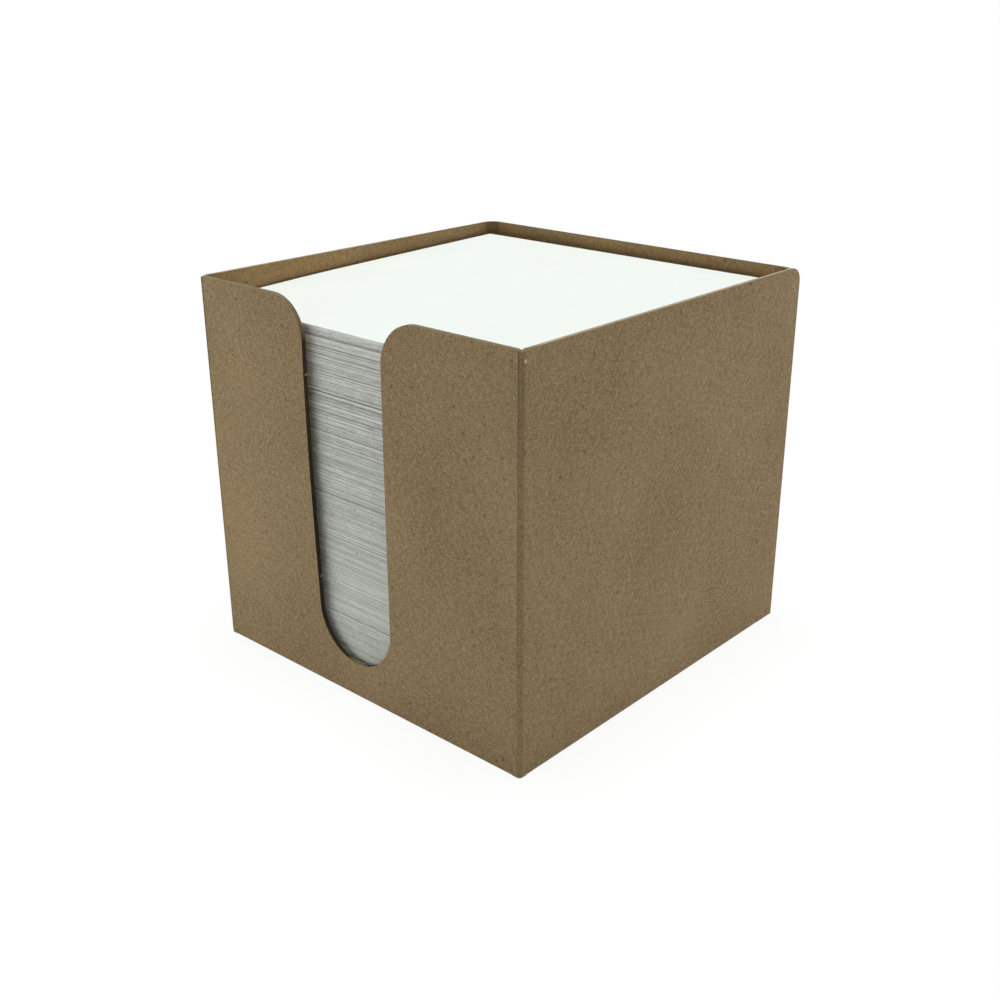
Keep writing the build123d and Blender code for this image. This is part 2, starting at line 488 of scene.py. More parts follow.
def makeBoardFace(name, look, tones):
    finish = Finish(name)
    along, up, (x, y, z) = boardPoint(finish)
    place = finish.place()
    fine, coarse, cloud = (
        finish.grain(place, **look[kind]) for kind in ("fine", "coarse", "cloud")
    )
    tone = added((fine - 0.5, coarse - 0.5, cloud - 0.5), look["contrast"], 0.5)
    colour = finish.blend(tone.between(0.0, 1.0), *tones)
    blots = marks(x + y, z, look["blots"], look["blotSize"])
    colour = finish.blend(blots, colour, look["fleck"])
    strands = scatter(finish, along, up, strandLook)
    flecks = scatter(finish, along, up, fleckLook)
    glints = scatter(finish, along, up, glintLook)
    colour = finish.blend(strands * strandLook["show"], colour, look["fibre"])
    colour = finish.blend(flecks * fleckLook["show"], colour, look["fleck"])
    colour = finish.blend(glints * glintLook["show"], colour, look["fibre"])
    creases = creaseLines(x, y, z, coarse, creaseLook)
    colour = finish.blend(creases, colour, look["crease"])
    # painted shade where the walls meet in the back-left fold, in the fleck colour
    colour = finish.blend(bendShade(x, y, bendLook), colour, look["fleck"])
    outside = x > rightX - board / 2
    chips = marks(x + y, z, look["chips"], look["chipSize"]) * outside
    colour = finish.blend(chips, colour, look["loose"])
    relief = added((fine, coarse, strands, flecks), look["relief"])
    roughness, byGrain = look["roughness"]
    rough = roughness + (fine - 0.5) * byGrain
    return finish.finishWith(colour, rough, relief, look["bumpDepth"])


def makeBoardCut(look):
    # pale on the rims in front, darker behind and at the foot, dark on the slot's sides
    # the tone follows the way a cut faces: painted light from above, and painted shade
    # at the foot and on the slot's sides
    finish = Finish("kraftCut")
    place = finish.place()
    lift = finish.lift()
    fine, coarse = (finish.grain(place, **look[kind]) for kind in ("fine", "coarse"))
    x, y, z = finish.split(place)
    raised = z.between(*look["raised"])
    rightRim = x.between(*(rightX - gap for gap in look["rightRim"]))
    behind = y.between(*look["backStarts"]) * (1 - rightRim)
    rim = finish.blend(y.between(*look["frontEnds"]), look["front"], look["top"])
    # behind and low down at the foot the rim takes the darker tone, which at the foot is
    # painted shade
    rim = finish.blend(behind.maths("MAXIMUM", 1 - raised), rim, look["back"])
    # the upright cuts near the slot are painted near black: painted shade
    side = finish.blend(x.size() < look["slotReach"], look["side"], look["slot"])
    shoulder = lift.between(*look["shoulder"]) * raised
    colour = finish.blend(shoulder, side, look["mouth"])
    # cuts that face up take the rim tones: painted light from above
    rimLift, eased = look["rimLift"]
    isRim = lift.between(rimLift - raised * eased, 1.0)
    colour = finish.blend(isRim, colour, rim)
    tone = added((fine - 0.5, coarse - 0.5), look["contrast"], look["tone"])
    dark = (1 - tone).between(*look["fleckTone"])
    colour = finish.blend(dark, colour, boardLook["fleck"])
    relief = added((fine, coarse), look["relief"])
    return finish.finishWith(colour, relief=relief, **look["surface"])


# Paper and glue

paperLook = {
    "face": (0.865, 0.915, 0.87, 1),
    "shade": (0.83, 0.875, 0.83, 1),
    "tone": 0.35,
    "contrast": (0.5, 0.8),  # of the fine and the cloudy grain
    "fine": {"perMm": 3.0},
    "cloud": {"perMm": 0.06},
    "surface": {"roughness": 0.75, "bumpDepth": 0.012, "gloss": 0.3},
}

edgeLook = {
    "gap": (0.10, 0.105, 0.088, 1),  # painted shade on the edges of sheets that lie back in a deep break
    # the edges' tones are set greyer than the face, as painted shade from between the
    # sheets; each sheet's random tone picks a place between them
    "dark": (0.33, 0.345, 0.305, 1),
    "light": (0.89, 0.90, 0.845, 1),
    "gapTone": (-0.5, 0.05),
    "lines": {"perMm": 2.4, "detail": 3.0, "rough": 0.7},
    "lineStretch": 0.03,
    "lineShow": 0.3,
    "dashes": {"perMm": 1.0, "detail": 3.0, "rough": 0.6},
    "dashStretch": (0.35, 4.0),  # along a sheet and up the pile
    "dashShow": (0.55, 0.5),  # at the pile's foot, and how much more above
    "dashRise": (25.0, 65.0),
    "dust": {"perMm": 2.2},
    "dustShow": 0.5,
    "speck": (0.13, 0.12, 0.10, 1),
    "specks": ((-10.7, 82.0), (1.6, 58.3), (-1.8, 44.5), (-1.9, 34.1)),  # x and z
    "speckSize": 0.3,
    "surface": {"roughness": 0.9, "bumpDepth": 0.03, "gloss": 0.15},
}

glueLook = {
    "thin": (0.72, 0.66, 0.50, 1),
    "thick": (0.58, 0.50, 0.35, 1),
    "cloud": {"perMm": 0.4, "detail": 3.0},
    "roughness": (0.35, 0.2),  # at least, and with the cloudy grain
    "bumpDepth": 0.05,
}


def makePaperFace(look):
    finish = Finish("notePaper")
    place = finish.place()
    fine, cloud = (finish.grain(place, **look[kind]) for kind in ("fine", "cloud"))
    tone = added((fine - 0.5, cloud - 0.5), look["contrast"], look["tone"])
    colour = finish.blend(tone.between(0.0, 1.0), look["face"], look["shade"])
    return finish.finishWith(colour, relief=fine, **look["surface"])


def makePaperEdge(look):
    finish = Finish("noteEdges")
    x, y, z = finish.split(finish.place())
    # each sheet's tone: random, with painted shade in the breaks and painted light
    # beside them
    sheetToneAndShade = finish.node("Attribute", {"attribute_name": "tone"}, out="Fac")
    stretch = look["lineStretch"]
    lines = finish.grain(finish.join(x * stretch, y * stretch, z), **look["lines"])
    along, upwards = look["dashStretch"]
    point = finish.join(x * along, y * along, z * upwards)
    dashes = finish.grain(point, **look["dashes"])
    dust = finish.grain(finish.join(x, y, z), **look["dust"])
    foot, above = look["dashShow"]
    dashes = (dashes - 0.5) * (foot + z.between(*look["dashRise"]) * above)
    tone = sheetToneAndShade + (lines - 0.5) * look["lineShow"] + dashes
    tone = tone + (dust - 0.5) * look["dustShow"]
    colour = finish.blend(tone.between(0.0, 1.0), look["dark"], look["light"])
    # sheets deep in a break get the gap colour: painted shade
    colour = finish.blend(1 - tone.between(*look["gapTone"]), colour, look["gap"])
    specks = marks(x, z, look["specks"], look["speckSize"])
    colour = finish.blend(specks, colour, look["speck"])
    return finish.finishWith(colour, relief=lines, **look["surface"])


def makeGlue(look):
    finish = Finish("driedGlue")
    cloud = finish.grain(finish.place(), **look["cloud"])
    colour = finish.blend(cloud, look["thin"], look["thick"])
    roughness, byCloud = look["roughness"]
    rough = roughness + cloud * byCloud
    return finish.finishWith(colour, rough, cloud, look["bumpDepth"])


boardFace = makeBoardFace("kraftFace", boardLook, boardLook["outside"])
# the inside finish: the same board with lighter tones, painted light
boardInside = makeBoardFace("kraftInside", boardLook, boardLook["inside"])
boardCut = makeBoardCut(cutLook)
paperFace = makePaperFace(paperLook)
paperEdge = makePaperEdge(edgeLook)
driedGlue = makeGlue(glueLook)
print("finishes are mixed")


def newPiece(name, bm, finishes, body, node=None):
    # node: the solid whose place the piece takes, if any
    mesh = bpy.data.meshes.new(name)
    bm.to_mesh(mesh)
    bm.free()
    for finish in finishes:
        mesh.materials.append(finish)
    piece = bpy.data.objects.new(name, mesh)
    bpy.context.scene.collection.objects.link(piece)
    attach(piece, body)
    if node:
        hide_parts(node)


# Board panels: each is cut flat, creased, folded and stood in its place

panelLook = {
    "edgeStep": 0.7,  # spacing of points along a cut edge
    "edgeRough": 0.035,  # how far the die's cut strays inwards
    "edgeGrain": 1.3,  # strays in a millimetre
    "edgeRound": 0.10,
    "arcSteps": (8, 3),  # of a rounded corner: at least, and for each mm of radius
    "foldSteps": 8,
    "creaseWidth": 0.12,
    "creaseDepth": 0.05,
    "bead": 0.12,  # the ridge that a crease raises inside a fold
    "onJoint": 0.01,  # a point this close to a joint lies on it
    "merge": 0.002,  # points this close are one
    "seedStep": 7.3,
}


def cutBlank(outline, rounded, look):
    # the outline is in the XZ plane, the board's outer face looks along -Y
    bm = bmesh.new()
    corners = [bm.verts.new((u * mm, 0, v * mm)) for u, v in outline]
    bm.faces.new(corners)
    atLeast, perMm = look["arcSteps"]
    for corner, radius in rounded:
        bmesh.ops.bevel(
            bm,
            geom=[corners[outline.index(corner)]],
            affect="VERTICES",
            offset=radius * mm,
            segments=max(atLeast, int(radius * perMm)),
            profile=0.5,
            material=-1,
            clamp_overlap=False,
        )
    return bm


def onJoint(point, joints):
    # a joint is an axis and a place on it, where one panel meets the next
    near = panelLook["onJoint"]
    return any(abs(point[axis] / mm - at) < near for axis, at in joints)


def roughenCuts(bm, look, joints, seed):
    for edge in bm.edges[:]:
        cuts = int(edge.calc_length() / mm / look["edgeStep"])
        if cuts:
            bmesh.ops.bisect_edges(bm, edges=[edge], cuts=cuts)
    face = bm.faces[:][0]
    inward = {}
    for loop in face.loops:
        before = loop.link_loop_prev.vert.co
        after = loop.link_loop_next.vert.co
        inward[loop.vert] = face.normal.cross(after - before).normalized()
    for vert, direction in inward.items():
        if not onJoint(vert.co, joints):
            spot = Vector((vert.co.x / mm, seed, vert.co.z / mm)) * look["edgeGrain"]
            stray = abs(noise.noise(spot)) * look["edgeRough"]
            vert.co += direction * stray * mm


def sliceBlank(bm, places):
    for place in places:
        everything = bm.verts[:] + bm.edges[:] + bm.faces[:]
        at = (place * mm, 0, 0)
        bmesh.ops.bisect_plane(bm, geom=everything, plane_co=at, plane_no=(1, 0, 0))


def foldPlaces(fold, look):
    start, radius, angle, side = fold
    arc = radius * math.radians(angle)
    crease = look["creaseWidth"]
    steps = [arc * step / look["foldSteps"] for step in range(look["foldSteps"] + 1)]
    inner = [step for step in steps if crease < step < arc - crease]
    places = [-crease, 0, crease, *inner, arc - crease, arc, arc + crease]
    return [start + side * place for place in places]


def thicken(bm):
    outer = bm.faces[:]
    made = bmesh.ops.extrude_face_region(bm, geom=outer)
    moved = [item for item in made["geom"] if isinstance(item, bmesh.types.BMVert)]
    bmesh.ops.translate(bm, verts=moved, vec=(0, board * mm, 0))
    bmesh.ops.recalc_face_normals(bm, faces=bm.faces[:])
    # finish 0 is for the outer face, 1 for the cut edges and 2 for the inner face
    for face in bm.faces:
        if abs(face.normal.y) < 0.5:
            face.material_index = 1
        elif face.calc_center_median().y > board * mm / 2:
            face.material_index = 2


def roundCuts(bm, look, joints):
    sharp = []
    for edge in bm.edges:
        faces = edge.link_faces
        if len(faces) == 2 and faces[0].material_index != faces[1].material_index:
            ends = [vert.co for vert in edge.verts]
            if not any(all(onJoint(end, [joint]) for end in ends) for joint in joints):
                sharp.append(edge)
    bmesh.ops.bevel(
        bm,
        geom=sharp,
        affect="EDGES",
        offset=look["edgeRound"] * mm,
        segments=2,
        profile=0.5,
        material=1,
        clamp_overlap=True,
    )


def creaseFold(bm, fold, look):
    start, radius, angle, side = fold
    arc = radius * math.radians(angle)
    for vert in bm.verts:
        beyond = (vert.co.x / mm - start) * side
        depth = vert.co.y / mm
        if depth < board / 2:
            gap = min(abs(beyond), abs(beyond - arc))
            dent = max(0.0, 1 - gap / look["creaseWidth"])
            vert.co.y += look["creaseDepth"] * dent * mm
        elif 0 < beyond < arc:
            vert.co.y += look["bead"] * math.sin(math.pi * beyond / arc) * mm


def foldBlank(bm, fold, look):
    # outside, the board follows an arc; deeper than its radius it meets in a mitre
    start, radius, angle, side = fold
    turn = math.radians(angle)
    arc = radius * turn
    for vert in bm.verts:
        beyond = (vert.co.x / mm - start) * side
        depth = vert.co.y / mm
        mitre = max(0.0, depth - radius) * math.tan(turn / 2)
        if beyond <= -mitre:
            continue
        if mitre and beyond < arc + mitre:
            u, w = -mitre, depth
        else:
            bent = min(beyond, arc) / radius
            rest = max(0.0, beyond - arc)
            u = (radius - depth) * math.sin(bent) + rest * math.cos(bent)
            w = radius - (radius - depth) * math.cos(bent) + rest * math.sin(bent)
        vert.co.x = (start + side * u) * mm
        vert.co.y = w * mm
    bmesh.ops.remove_doubles(bm, verts=bm.verts, dist=look["merge"] * mm)


def makePanel(node, outline, origin, axes, rounded=(), folds=(), joints=()):
    # axes: where the blank's u, depth and v directions point in the frame
    # rounded: corners of the outline and their radii
    look = panelLook
    bm = cutBlank(outline, rounded, look)
    seed = len(node) * look["seedStep"] + outline[0][0]
    roughenCuts(bm, look, joints, seed)
    for fold in folds:
        sliceBlank(bm, foldPlaces(fold, look))
    thicken(bm)
    roundCuts(bm, look, joints)
    for fold in folds:
        creaseFold(bm, fold, look)
        foldBlank(bm, fold, look)
    turn = Matrix([Vector(axis) for axis in axes]).transposed().to_4x4()
    stand = Matrix.Translation(Vector(origin) * mm) @ turn
    bmesh.ops.transform(bm, matrix=stand, verts=bm.verts)
    bmesh.ops.recalc_face_normals(bm, faces=bm.faces[:])
    finishes = (boardFace, boardCut, boardInside)
    newPiece(node + "_board", bm, finishes, "holder", node)


frontLook = {
    "foldRadius": 0.7,
    "slotLeft": ((-12.95, 89), (-13.50, 60), (-11.80, 8.4)),  # both sides bend a little
    "slotRight": ((10.90, 89), (10.45, 55), (10.47, 8.4)),
    "slotBend": 15.0,
    "footRadius": 11.2,
    "mouthRadii": (9.3, 9.7),
    "rimDip": 0.35,  # where the rim is folded
}


def makeFrontWall(look):
    radius = look["foldRadius"]
    start = rightX - radius
    side = start + radius * math.pi / 2 + foldStrip - radius
    notch = rightX - foldStrip
    crest = start + radius * math.pi / 4
    rimBefore, rimDipped = (start - radius, height), (crest, height - look["rimDip"])
    leftTop, leftBend, leftFoot = look["slotLeft"]
    rightTop, rightBend, rightFoot = look["slotRight"]
    outline = [
        (-side, 0),
        (-notch, 0),
        (-notch, baseStrip),
        (notch, baseStrip),
        (notch, 0),
        (side, 0),
        (side, height),
        rimDipped,
        rimBefore,
        rightTop,
        rightBend,
        rightFoot,
        leftFoot,
        leftBend,
        leftTop,
        (-rimBefore[0], rimBefore[1]),
        (-rimDipped[0], rimDipped[1]),
        (-side, height),
    ]
    leftMouth, rightMouth = look["mouthRadii"]
    foot, bend = look["footRadius"], look["slotBend"]
    makePanel(
        "front_wall",
        outline,
        origin=(0, frontY, 0),
        axes=((1, 0, 0), (0, 1, 0), (0, 0, 1)),
        rounded=(
            *((rightTop, rightMouth), (rightBend, bend), (rightFoot, foot)),
            *((leftFoot, foot), (leftBend, bend), (leftTop, leftMouth)),
        ),
        folds=((start, radius, 90, 1), (-start, radius, 90, -1)),
        joints=((0, side), (0, -side), (2, baseStrip)),
    )


wallLook = {
    "freeCornerRadius": 3.5,  # at the top of the right wall's free edge
    "freeEdgeLean": 0.2,  # how much that edge leans to the front
    "backFoldRadius": 3.0,  # the slacker fold at the back left
    "flapFoldRadius": 0.7,
    "flapDrop": 1.2,  # of the flap's top below the rim
    "flapLength": 12.0,
    "flapSlope": 5.0,
    "cutGap": 0.3,  # clearance between two cut edges
}


def makeLeftWall(look):
    back = high("left_wall").y
    length = back - (frontY + foldStrip)
    notch = length - (high("left_tab").y + look["cutGap"] - frontY - foldStrip)
    outline = [
        (0, 0),
        (notch, 0),
        (notch, baseStrip),
        (length, baseStrip),
        (length, height),
        (0, height),
    ]
    makePanel(
        "left_wall",
        outline,
        origin=(leftX, back, 0),
        axes=((0, -1, 0), (1, 0, 0), (0, 0, 1)),
        joints=((0, 0), (0, length), (2, baseStrip)),
    )


def makeRightWall(look):
    front = frontY + foldStrip
    length = freeEdgeY - front
    notch = high("right_tab").y + look["cutGap"] - front
    freeCorner = (length - look["freeEdgeLean"], height)
    outline = [
        (0, baseStrip),
        (notch, baseStrip),
        (notch, 0),
        (length, 0),
        freeCorner,
        (0, height),
    ]
    makePanel(
        "right_wall",
        outline,
        origin=(rightX, front, 0),
        axes=((0, 1, 0), (-1, 0, 0), (0, 0, 1)),
        rounded=((freeCorner, look["freeCornerRadius"]),),
        joints=((0, 0), (2, baseStrip)),
    )


def backSlant():
    # the back wall stands a little askew: how much, and how wide it is
    seamY = high("seam_flap").y + foldStrip
    deep, wide = backLeftY - seamY, seamX - leftX
    return math.atan2(deep, wide), math.hypot(deep, wide), seamY


def makeBackWall(look):
    # it runs from the slack fold at the back left to the fold of the glue flap
    slant, span, seamY = backSlant()
    leftTurn = math.pi / 2 + slant
    flapTurn = math.pi / 2 - slant
    leftRadius = look["backFoldRadius"]
    flapRadius = look["flapFoldRadius"]
    leftSetback = leftRadius * math.tan(leftTurn / 2)
    flapSetback = flapRadius * math.tan(flapTurn / 2)
    backStrip = backLeftY - high("left_wall").y
    leftFold = span - leftSetback
    flapEnd = flapSetback - flapRadius * flapTurn - (foldStrip - flapSetback)
    leftEnd = leftFold + leftRadius * leftTurn + backStrip - leftSetback
    flapNotch = foldStrip / math.cos(slant)
    leftNotch = span - backStrip / math.cos(slant)
    notchTop = baseFloor + baseStrip
    outline = [
        (flapEnd, 0),
        (flapNotch, 0),
        (flapNotch, notchTop),
        (leftNotch, notchTop),
        (leftNotch, 0),
        (leftEnd, 0),
        (leftEnd, height),
        (flapEnd, height),
    ]
    makePanel(
        "back_wall",
        outline,
        origin=(seamX, seamY, 0),
        axes=(
            (-math.cos(slant), math.sin(slant), 0),
            (-math.sin(slant), -math.cos(slant), 0),
            (0, 0, 1),
        ),
        folds=(
            (leftFold, leftRadius, math.degrees(leftTurn), 1),
            (flapSetback, flapRadius, math.degrees(flapTurn), -1),
        ),
        joints=((0, flapEnd), (0, leftEnd), (2, notchTop)),
    )


def makeSeamFlap(look):
    outline = [
        (0, baseTop + look["cutGap"]),
        (0, height - look["flapDrop"]),
        (-look["flapLength"], height - look["flapSlope"]),
        (-look["flapLength"], baseTop + look["flapSlope"]),
    ]
    makePanel(
        "seam_flap",
        outline,
        origin=(seamX, high("seam_flap").y, 0),
        axes=((0, 1, 0), (-1, 0, 0), (0, 0, 1)),
        joints=((0, 0),),
    )


makeFrontWall(frontLook)
makeLeftWall(wallLook)
makeRightWall(wallLook)
makeBackWall(wallLook)
makeSeamFlap(wallLook)
print("walls are folded")

baseLook = {
    "foldRadius": 0.2,
    "tabWidth": 15.0,
    "cutGap": 0.3,
    "tabSpread": 0.3,  # how far the tabs' ends fill their gaps
}


def makeTab(node, look, outline, length, origin, axes):
    # the tab lies flat on the table and its fold turns up to meet the wall
    radius = look["foldRadius"]
    makePanel(
        node,
        outline,
        origin=origin,
        axes=axes,
        folds=((length, radius, 90, 1),),
        joints=((0, length + radius * math.pi / 2 + baseStrip - radius),),
    )


def makeTabs(look):
    radius = look["foldRadius"]
    lie = look["tabWidth"] - radius  # flat part, from the tab's tip to its fold
    up = lie + radius * math.pi / 2 + baseStrip - radius
    shoulder = look["tabWidth"] - foldStrip
    spread = look["tabSpread"]
    end = high("front_tab").x + spread
    outline = [
        (0, shoulder - end),
        (shoulder, -end),
        (up, -end),
        (up, end),
        (shoulder, end),
        (0, end - shoulder),
    ]
    origin = (0, frontY + look["tabWidth"], 0)
    axes = ((0, -1, 0), (0, 0, 1), (-1, 0, 0))
    makeTab("front_tab", look, outline, lie, origin, axes)
    for node, hand in (("left_tab", -1), ("right_tab", 1)):
        front, back = low(node).y - spread, high(node).y + spread
        corners = [
            (0, front + shoulder),
            (shoulder, front),
            (up, front),
            (up, back),
            (0, back),
        ]
        outline = [(u, -hand * y) for u, y in corners]
        origin = (hand * (rightX - look["tabWidth"]), 0, 0)
        axes = ((hand, 0, 0), (0, 0, 1), (0, -hand, 0))
        makeTab(node, look, outline, lie, origin, axes)


def makeBasePanel(look):
    # folded in from the foot of the back wall
    radius, gap = look["foldRadius"], look["cutGap"]
    slant, _, _ = backSlant()
    back = Vector((math.sin(slant), math.cos(slant)))
    right = Vector((math.cos(slant), -math.sin(slant)))
    corner = Vector((leftX, backLeftY))
    up = radius * math.pi / 2 + baseStrip - 2 * radius
    leftEnd = leftX + backLeftY - high("left_wall").y + gap
    rightEnd = seamX - foldStrip - gap
    plan = [
        (leftX + board + gap, frontY + board + gap),
        (flapFaceX - gap, frontY + board + gap),
        (flapFaceX - gap, high("seam_flap").y - gap),
        (rightEnd, high("seam_flap").y - gap),
        (rightEnd, backLeftY),
        (leftEnd, backLeftY),
        (leftEnd, high("left_wall").y - gap),
        (leftX + board + gap, high("left_wall").y - gap),
    ]
    flat = [Vector(point) - corner for point in plan]
    outline = [(point.dot(back), point.dot(right)) for point in flat]
    # the strip at the back is square to the fold, which turns it up
    outline[4] = (up, outline[3][1])
    outline[5] = (up, outline[6][1])
    makePanel(
        "base_panel",
        outline,
        origin=(leftX, backLeftY, baseFloor),
        axes=((*back, 0), (0, 0, 1), (*right, 0)),
        folds=((-radius, radius, 90, 1),),
        joints=((0, up),),
    )


makeTabs(baseLook)
makeBasePanel(baseLook)
print("base is glued")

for node in ("seam_glue", "front_glue", "left_glue", "right_glue"):
    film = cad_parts[node]
    film.data.materials.clear()
    film.data.materials.append(driedGlue)


# Note sheets: every block is a pile of handfuls, each sheet cut and laid by itself

pileLook = {
    "note": 90.0,
    "sheet": 0.105,  # what one sheet adds to the pile
    "paper": 0.094,  # the sheet itself, the rest is air
    "cuts": 7,  # across each sheet, for the pile's curve
    "frontGap": 0.9,
    "backRise": 3.1,  # how much higher the pile stands at its back edge
    "crown": 0.6,  # how far the top stands above a straight line in between
    "crownPeak": 0.55,  # less than 1 moves the crown to the front
    "slip": 0.09,  # of a handful, to any side
    "jitter": 0.05,  # of a sheet in its handful
    "stray": 0.15,  # of the few sheets that stand out or stay back
    "strayShare": 0.06,
    "skew": 0.1,  # of a handful, in degrees
    "breakDepth": 0.12,  # share of a handful's break that its sheets really stay back
    "breakSheets": 2,
    "deepBreaks": (0.38, 0.6),  # each adds a sheet to the break
    "airGap": 0.05,  # at the front, where one block lies on the next
    "airReach": 25.0,
    "thinBlock": 20,  # sheets, with fewer no air shows below a block
    "seed": 11,
}

# How light the sheets' edges are, from 0 to 1: random from sheet to sheet, with painted
# shade in the breaks and painted light beside them
shadeLook = {
    "middle": 0.5,
    "bank": 0.04,  # from handful to handful
    "band": 0.09,  # among a few sheets
    "bandSheets": (3, 8),
    "rough": (0.05, 0.08),  # from sheet to sheet: at the foot, and how much more on top
    "break": (0.42, 0.9),  # painted shade of sheets in a shallow break, and how much darker deeper in
    "litEdge": 0.14,  # painted light: how much lighter the sheets beside a break are
    "litTop": 3,  # how many of them are below a break
    "fewSheets": 8,  # a handful with no more has none there
    "litFoot": 5,  # how many of them are above a break
    "thinHandful": 12,  # with fewer sheets, it stands out below a deep break
    "thinLit": (0.35, 0.8),  # the depth from which it does, and how much painted light it gains
}

# Each block: how far it lies back, then its handfuls from below, each as the number of
# sheets and how far its lowest sheets stay back, shown as a dark line of painted shade
noteBlocks = {
    "bottom_note_block": (
        -0.20,
        ((74, 0.0), (18, 0.15), (48, 0.20), (7, 0.30), (4, 0.62)),
    ),
    "lower_note_block": (
        0.06,
        (
            *((23, 0.0), (32, 0.35), (9, 0.25), (27, 0.20), (10, 0.15), (10, 0.15)),
            *((24, 0.37), (36, 0.37), (9, 0.35), (25, 0.15), (26, 0.20), (27, 0.37)),
            *((8, 0.20), (4, 0.40)),
        ),
    ),
    "upper_note_block": (
        0.05,
        (
            *((11, 0.0), (13, 0.35), (15, 0.30), (8, 0.35), (12, 0.30), (9, 0.35)),
            *((21, 0.37), (13, 0.37), (9, 0.30), (20, 0.37), (12, 0.45), (8, 0.35)),
            *((10, 0.20), (8, 0.30), (6, 0.25), (17, 0.45), (8, 0.35), (6, 0.37)),
            *((9, 0.45), (4, 0.60)),
        ),
    ),
    "top_note_block": (
        0.10,
        (
            *((20, 0.0), (14, 0.15), (6, 0.35), (13, 0.35), (14, 0.25), (8, 0.35)),
            *((10, 0.37), (6, 0.20), (19, 0.40), (4, 0.48)),
        ),
    ),
    "loose_notes": (0.05, ((16, 0.0),)),
    "top_note": (0.08, ((1, 0.0),)),
}
sheetCount = sum(count for _, handfuls in noteBlocks.values() for count, _ in handfuls)


def sheetLevel(look, below, y):
    # height above the base of a sheet with so many below it, y from the pile's middle
    share = y / look["note"] + 0.5
    total = sheetCount * look["sheet"]
    fan = look["backRise"] / total
    bulge = math.sin(math.pi * max(0.0, min(1.0, share)) ** look["crownPeak"])
    straight = below * look["sheet"] * (1 + fan * share)
    return straight + look["crown"] * bulge * below / sheetCount


def cutNote(look):
    bm = bmesh.new()
    bmesh.ops.create_cube(bm, size=1)
    long = [edge for edge in bm.edges if edge.verts[0].co.y != edge.verts[1].co.y]
    bmesh.ops.subdivide_edges(bm, edges=long, cuts=look["cuts"], use_grid_fill=True)
    side = look["note"]
    bmesh.ops.scale(bm, verts=bm.verts, vec=(side, side, look["paper"]))
    bmesh.ops.translate(bm, verts=bm.verts, vec=(0, 0, look["paper"] / 2))
    for face in bm.faces:
        face.material_index = 0 if abs(face.normal.z) > 0.5 else 1
    mesh = bpy.data.meshes.new("oneNote")
    bm.to_mesh(mesh)
    bm.free()
    return mesh


def addBreak(shade, place, handful, look):
    # how the breaks below and above a handful change the tone of one of its sheets:
    # painted light beside a break
    count, setback, above = handful
    if count > look["fewSheets"] and place >= count - look["litTop"]:
        shade += look["litEdge"]
        if count < look["thinHandful"]:
            start, gain = look["thinLit"]
            shade += max(0.0, above - start) * gain
    elif count >= look["litFoot"] and setback and place < look["litFoot"]:
        shade += look["litEdge"]
    return shade


def bendSheet(verts, look, move, block, below):
    # the sheet slips and turns a little, and follows the curve of the pile below it
    right, backwards, skew = move
    for vert in verts:
        across, deep, lift = vert.co
        vert.co.x += right - deep * skew
        vert.co.y += backwards + across * skew
        level = sheetLevel(look, below, vert.co.y)
        floor = sheetLevel(look, block["first"], vert.co.y)
        squeeze = 1
        if block["sheets"] >= look["thinBlock"]:
            fromFront = vert.co.y + look["note"] / 2
            press = max(0.0, 1 - fromFront / look["airReach"]) ** 2
            squeeze = 1 - press * look["airGap"] / (block["sheets"] * look["sheet"])
        vert.co.z = floor + (level + lift - floor) * squeeze


def layHandful(bm, note, look, handful, block, below, rng):
    count, setback, _ = handful
    tone = bm.verts.layers.float["tone"]
    slipRight = rng.uniform(-1, 1) * look["slip"]
    slipBack = block["back"] + rng.uniform(-0.5, 1) * look["slip"]
    skew = math.radians(rng.uniform(-1, 1) * look["skew"])
    bank = rng.uniform(-shadeLook["bank"], shadeLook["bank"])
    inBreak = look["breakSheets"] + sum(setback > deep for deep in look["deepBreaks"])
    band, left = 0.0, 0
    for place in range(count):
        known = len(bm.verts)
        bm.from_mesh(note)
        bm.verts.ensure_lookup_table()
        fresh = bm.verts[known:]
        if not left:
            band = rng.uniform(-shadeLook["band"], shadeLook["band"])
            left = rng.randint(*shadeLook["bandSheets"])
        left -= 1
        atFoot, higher = shadeLook["rough"]
        rough = atFoot + higher * below / sheetCount
        shade = shadeLook["middle"] + bank + band + rng.uniform(-rough, rough)
        right = slipRight + rng.uniform(-1, 1) * look["jitter"]
        backwards = slipBack + rng.uniform(-1, 1) * look["jitter"]
        # a stray sheet is painted lighter when it stands out and darker when it stays
        # back: painted light and shade
        if rng.random() < look["strayShare"]:
            step = rng.uniform(-1, 1) * look["stray"]
            backwards += step
            shade -= step
        # the lowest sheets of a handful are painted dark: painted shade in the break
        if setback and place < inBreak:
            backwards += setback * look["breakDepth"]
            shallow, darker = shadeLook["break"]
            shade = shallow - darker * setback
        else:
            shade = addBreak(shade, place, handful, shadeLook)
        bendSheet(fresh, look, (right, backwards, skew), block, below)
        for vert in fresh:
            vert[tone] = shade
        below += 1
    return below


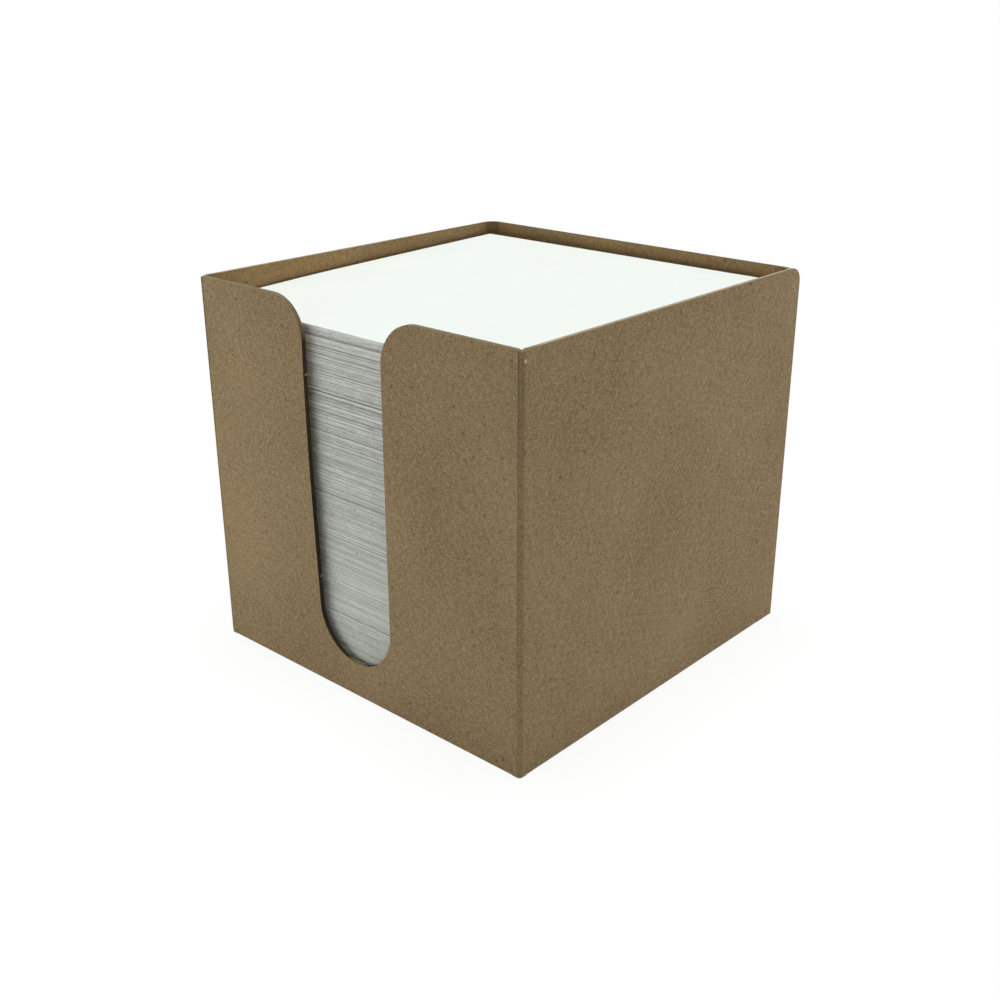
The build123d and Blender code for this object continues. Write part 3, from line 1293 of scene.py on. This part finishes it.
def makeNotes(look):
    rng = random.Random(look["seed"])
    room = flapFaceX - leftX - board - look["note"]
    turn = math.asin(room / 2 / look["note"])
    span = look["note"] * (math.cos(turn) + math.sin(turn))
    middleX = (leftX + board + flapFaceX) / 2
    middleY = frontY + board + look["frontGap"] + span / 2
    middle = Matrix.Translation(Vector((middleX, middleY, baseTop)) * mm)
    lay = middle @ Matrix.Rotation(-turn, 4, "Z") @ Matrix.Scale(mm, 4)
    note = cutNote(look)
    below = 0
    for node, (back, handfuls) in noteBlocks.items():
        bm = bmesh.new()
        bm.verts.layers.float.new("tone")
        sheets = sum(count for count, _ in handfuls)
        block = {"back": back, "first": below, "sheets": sheets}
        breaksAbove = [setback for _, setback in handfuls[1:]] + [0.0]
        for (count, setback), above in zip(handfuls, breaksAbove):
            handful = (count, setback, above)
            below = layHandful(bm, note, look, handful, block, below, rng)
        bmesh.ops.transform(bm, matrix=lay, verts=bm.verts)
        newPiece(node + "_sheets", bm, (paperFace, paperEdge), node, node)
    bpy.data.meshes.remove(note)


makeNotes(pileLook)
print(f"{sheetCount} sheets are laid")


# Loose board fibres that hang from the slot's left side, where the die tore the board

fluffLook = {
    "dark": (0.395, 0.286, 0.147, 1),
    "light": (0.46, 0.38, 0.26, 1),
    "cloud": {"perMm": 2.0},
    "surface": {"roughness": 0.95, "gloss": 0.15},
    "places": ((-13.05, 72.7), (-12.0, 26.2)),  # x and z
    "depth": (0.25, 0.5),  # behind the wall's outer face
    "strands": 5,
    "length": (0.7, 1.3),
    "thick": 0.15,
    "tip": 0.01,
    "sides": 5,
    "bends": 4,
    "bow": 0.35,
    "lean": (20, 70),
    "turn": (-25, 50),
    "root": 0.4,  # share of the length by which a strand stands off its foot
    "seed": 3,
}


def makeFluffFinish(look):
    finish = Finish("kraftFluff")
    cloud = finish.grain(finish.place(), **look["cloud"])
    colour = finish.blend(cloud, look["dark"], look["light"])
    return finish.finishWith(colour, **look["surface"])


def growStrand(bm, look, place, rng):
    x, z = place
    known = len(bm.verts)
    length = rng.uniform(*look["length"])
    made = bmesh.ops.create_cone(
        bm,
        segments=look["sides"],
        radius1=look["thick"] / 2,
        radius2=look["tip"],
        depth=length,
    )
    strand = {edge for vert in made["verts"] for edge in vert.link_edges}
    long = [edge for edge in strand if edge.calc_length() > length / 2]
    bmesh.ops.subdivide_edges(bm, edges=long, cuts=look["bends"])
    bm.verts.ensure_lookup_table()
    verts = bm.verts[known:]
    for vert in verts:
        share = vert.co.z / length + 0.5
        vert.co.x += look["bow"] * share * share
    lean = Matrix.Rotation(math.radians(rng.uniform(*look["lean"])), 4, "Y")
    turn = Matrix.Rotation(math.radians(rng.uniform(*look["turn"])), 4, "Z")
    foot = Matrix.Translation((x, frontY + rng.uniform(*look["depth"]), z))
    raised = Matrix.Translation((0, 0, length * look["root"]))
    bmesh.ops.transform(bm, matrix=foot @ turn @ lean @ raised, verts=verts)


def growFluff(look):
    rng = random.Random(look["seed"])
    bm = bmesh.new()
    for place in look["places"]:
        for _ in range(look["strands"]):
            growStrand(bm, look, place, rng)
    bmesh.ops.recalc_face_normals(bm, faces=bm.faces[:])
    bmesh.ops.scale(bm, verts=bm.verts, vec=(mm, mm, mm))
    newPiece("slotFluff", bm, (makeFluffFinish(look),), "holder")


growFluff(fluffLook)
print("fluff hangs in the slot")
